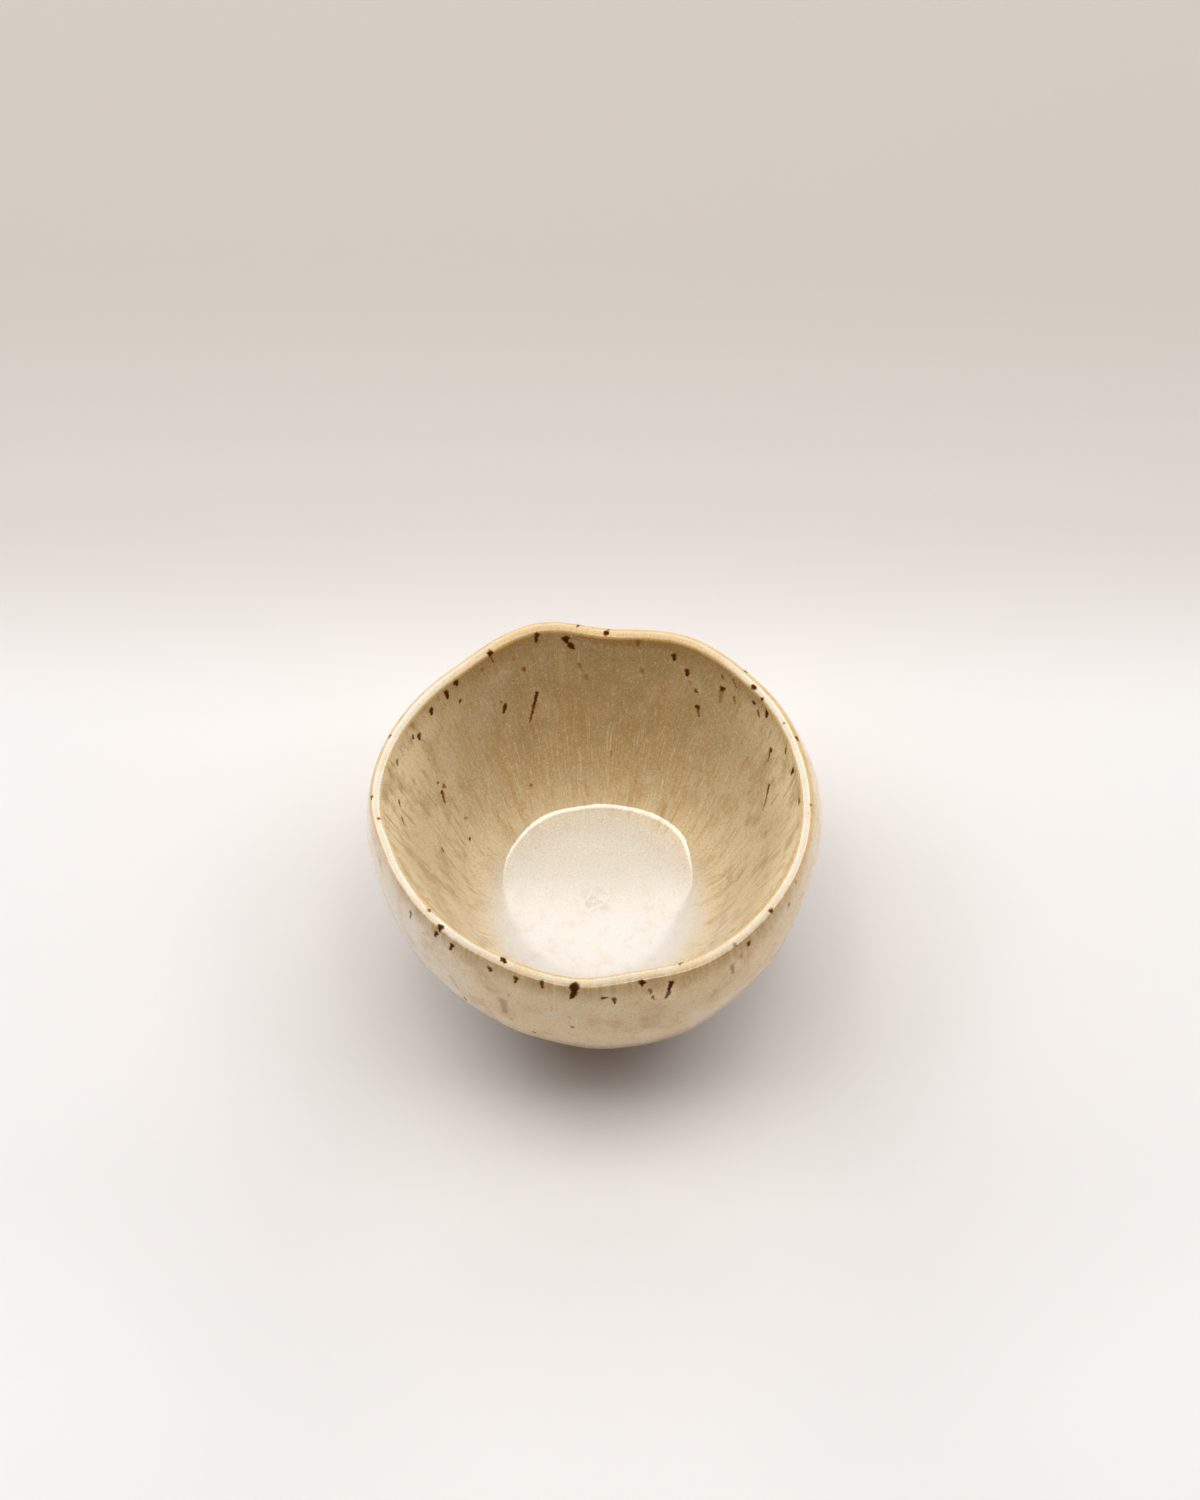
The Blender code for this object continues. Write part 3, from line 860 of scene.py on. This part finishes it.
# Painted highlight: the lip is whitened at the left and right, where it catches bright highlights
lip_tone = (front_back.rise(0.95, 0.60) * (0.90 - 0.50 * warmth)).between(lip_tone, LIP_PAINTED_HIGHLIGHT)
on_lip = along.rise(*LIP_START) * along.rise(*LIP_STOP)
colour = (on_lip * 0.95).between(colour, lip_tone)
inner_break = 0.45 + 0.45 * front_back
colour = (abs(along - INNER_EDGE).rise(EDGE_HALF, 0.0) * inner_break).between(colour, HONEY)
outer_break = 0.8 * side_y.rise(0.5, 1.0) | (0.5 * side_y.rise(-0.7, -0.1))
colour = (abs(along - OUTER_EDGE).rise(EDGE_HALF, 0.0) * outer_break).between(colour, HONEY)
colour = (grain.rise(0.50, 0.80) * 0.42).between(colour, pale)
colour = (grain.rise(0.50, 0.25) * 0.50 * (1 - 0.7 * pool_and_glow)).between(colour, dark)

# Iron shows as specks, more of them where the photograph doesn't reach, and as the spots that it shows
stray = {"Vector": place, "Scale": BLEED_SCALE, "Detail": 4.0, "Roughness": 0.65}
bleed = place.node("TexNoise", {}, stray, "Color")
bleed = bleed.vector("SUBTRACT", (0.5, 0.5, 0.5)).vector("MULTIPLY", (BLEED, BLEED, BLEED))
bled = place.vector("ADD", bleed)
speck_middle, chance = place.vector("MULTIPLY", DRAWN_OUT).vector("ADD", bleed).cells(SPECK_SCALE)
unseen = is_outside * behind.rise(*UNSEEN_OUTSIDE) + is_inside * behind.rise(*UNSEEN_INSIDE)
iron = speck_middle.rise(*SPECK_EDGE) * chance.rise(*SPECK_CHANCE) * is_wall
iron = iron * (0.25 + 0.75 * unseen) * (0.4 + 0.6 * chance)
skin_tree = BVHTree.FromPolygons(
    [vertex.co for vertex in glaze.data.vertices], [face.vertices for face in glaze.data.polygons]
)


def on_glaze(pixel_x, pixel_y):
    """Point of the glaze under a pixel of the photograph, and the width of that pixel there."""
    point, _, _, distance = skin_tree.ray_cast(camera.location, sight_line(pixel_x, pixel_y))
    return point, distance / FOCAL_PIXELS


for start_x, start_y, end_x, end_y, width, darkness in IRON_SPOTS:
    start, pixel = on_glaze(start_x, start_y)
    end, _ = on_glaze(end_x, end_y)
    half = pixel * width * SPOT_HALF
    reach = end - start
    offset = bled.vector("SUBTRACT", start)
    if reach.length > 0:
        share = offset.vector("DOT_PRODUCT", reach / reach.length_squared, "Value")
        share = share.node("Clamp", {}, {"Value": share})
        nearest = share.node("VectorMath", {"operation": "SCALE"}, {0: reach, "Scale": share})
        offset = offset.vector("SUBTRACT", nearest)
        half = half * (1 - SPOT_TAPER * share)
    distance = offset.vector("LENGTH", (0, 0, 0), "Value") / half
    iron = iron | (distance.rise(*SPOT_FADE) * darkness)

halo = iron.rise(0.02, 0.45) * 0.75
halo.between(colour, AMBER).feed(shader, "Base Color")
is_satin = behind.rise(*SATIN_FRONT) * radius.rise(*SATIN_RADIUS) * is_inside
(0.03 + 0.04 * blotch + 0.20 * is_satin).feed(shader, "Roughness")
ripple = place.noise(RIPPLE_SCALE, 2.0, 0.5)
relief = {"Strength": 0.12, "Distance": RIPPLE_DEPTH, "Height": ripple + 0.05 * grain}
ripple.node("Bump", {}, relief).feed(shader, "Normal")
dry_iron = glaze_finish.node_tree.nodes.new("ShaderNodeBsdfPrincipled")
iron.rise(0.45, 0.95).between(RUST, IRON).feed(dry_iron, "Base Color")
dry_iron.inputs["Roughness"].default_value = 0.6
dry_iron.inputs["Specular IOR Level"].default_value = 0.0
surfaces = {0: iron.rise(0.15, 0.65), 1: Shade(shader.outputs[0]), 2: Shade(dry_iron.outputs[0])}
iron.node("MixShader", {}, surfaces).feed(glaze_finish.node_tree.nodes["Material Output"], "Surface")
glaze.data.materials.append(glaze_finish)
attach(glaze, "root")
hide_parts("inside_glaze", "lip_glaze", "outside_glaze")

# Table: a plain flat pale sheet that the cup stands on. Painted light makes it paler in front of the cup, and
# painted shade darker behind it, as if it turned away from the light. Past the reach of the lamps the camera
# sees it in the tone of the backdrop.
TABLE_HALF = 1.5  # m
TABLE_SQUARES = 8  # along each side
TABLE_NEAR = (0.840, 0.808, 0.785)
TABLE_PAINTED_LIGHT = (0.915, 0.880, 0.855)
TABLE_PAINTED_SHADE = (0.560, 0.505, 0.460)
FRONT = (-0.045, -0.110)  # m behind the cup's axis, from the near tone to the front one
FIRST_SHADE = (0.052, 0.118)  # m behind it, where most of the darkening lies
SECOND_SHADE = (0.100, 0.200)  # and the rest of it
LAMP_REACH = (0.50, 1.20)  # m from the cup, where the lamps fade and the backdrop's tone sets in
BACKDROP_TONE = (0.78, 0.74, 0.71)

sheet = bmesh.new()
bmesh.ops.create_grid(sheet, x_segments=TABLE_SQUARES, y_segments=TABLE_SQUARES, size=TABLE_HALF)
table_mesh = bpy.data.meshes.new("table")
sheet.to_mesh(table_mesh)
sheet.free()
table = bpy.data.objects.new("table", table_mesh)
bpy.context.scene.collection.objects.link(table)
table_finish, shader, place = new_finish("pale_sheet")
depth = place.node("SeparateXYZ", {}, {0: place}, "Y")
# Painted shade: the flat sheet is darkened behind the cup, as if it turned up away from the light
turning = 0.7 * depth.rise(*FIRST_SHADE) + 0.3 * depth.rise(*SECOND_SHADE)
# Painted light: the sheet is made paler in front of the cup, over the long soft shadow that the lamps behind
# throw there
tone = depth.rise(*FRONT).between(TABLE_NEAR, TABLE_PAINTED_LIGHT)
turning.between(tone, TABLE_PAINTED_SHADE).feed(shader, "Base Color")
far_off = place.vector("LENGTH", (0, 0, 0), "Value").rise(*LAMP_REACH)
is_seen = Shade(table_finish.node_tree.nodes.new("ShaderNodeLightPath").outputs["Is Camera Ray"])
(far_off * is_seen).between((0.0, 0.0, 0.0), BACKDROP_TONE).feed(shader, "Emission Color")
shader.inputs["Emission Strength"].default_value = 1.0
shader.inputs["Roughness"].default_value = 0.9
shader.inputs["Specular IOR Level"].default_value = 0.0
table_mesh.materials.append(table_finish)

# Light: large soft boxes overhead, at the sides and behind, in a faint even room. The glaze mirrors the pale
# upper walls and ceiling of that room, brightest low down, and so its floor shows the lip as a ring. The
# camera sees a pale backdrop past the table.
WORLD_LEVEL = 0.02
BACKDROP_LEVEL = 0.74  # what the camera sees past the table
GLOSS_LEVEL = 4.5  # what the glaze mirrors
GLOSS_BAND = 12.0  # added along the foot of the bright walls
WALLS_START = 0.50  # sine of the elevation
WALLS_FADE = 0.02
BAND_STOP = 0.61
BAND_FADE = 0.06
SOFT_BOXES = (  # name, place and size in m, and power in W
    ("overhead_box", (0.0, -0.05, 1.0), 0.5, 2.6),
    ("left_box", (-0.42, 0.0, 0.91), 0.6, 2.9),
    ("right_box", (0.42, 0.0, 0.91), 0.6, 2.5),
    ("left_low_box", (-0.71, 0.0, 0.71), 0.6, 1.4),
    ("right_low_box", (0.71, 0.0, 0.71), 0.6, 1.2),
    ("left_back_box", (-0.46, 0.80, 0.38), 0.6, 3.5),
    ("right_back_box", (0.46, 0.80, 0.38), 0.6, 3.5),
)

world = bpy.data.worlds.new("room")
world.use_nodes = True
background = world.node_tree.nodes["Background"]
background.inputs["Color"].default_value = (1.0, 1.0, 1.0, 1.0)
light_path = world.node_tree.nodes.new("ShaderNodeLightPath")
is_glossy = Shade(light_path.outputs["Is Glossy Ray"])
is_seen = Shade(light_path.outputs["Is Camera Ray"])
direction = Shade(world.node_tree.nodes.new("ShaderNodeTexCoord").outputs["Generated"])
upward = direction.node("SeparateXYZ", {}, {0: direction}, "Z")
walls = upward.rise(WALLS_START, WALLS_START + WALLS_FADE)
band = upward.rise(BAND_STOP, BAND_STOP - BAND_FADE)
mirrored = walls * (GLOSS_LEVEL + GLOSS_BAND * band)
(WORLD_LEVEL + is_glossy * mirrored + is_seen * BACKDROP_LEVEL).feed(background, "Strength")
bpy.context.scene.world = world
for name, spot, size, power in SOFT_BOXES:
    lamp = bpy.data.lights.new(name, "AREA")
    lamp.size = size
    lamp.energy = power
    box = bpy.data.objects.new(name, lamp)
    box.location = spot
    box.rotation_euler = Vector(spot).to_track_quat("Z", "Y").to_euler()
    box.visible_camera = False
    box.visible_glossy = False
    bpy.context.scene.collection.objects.link(box)
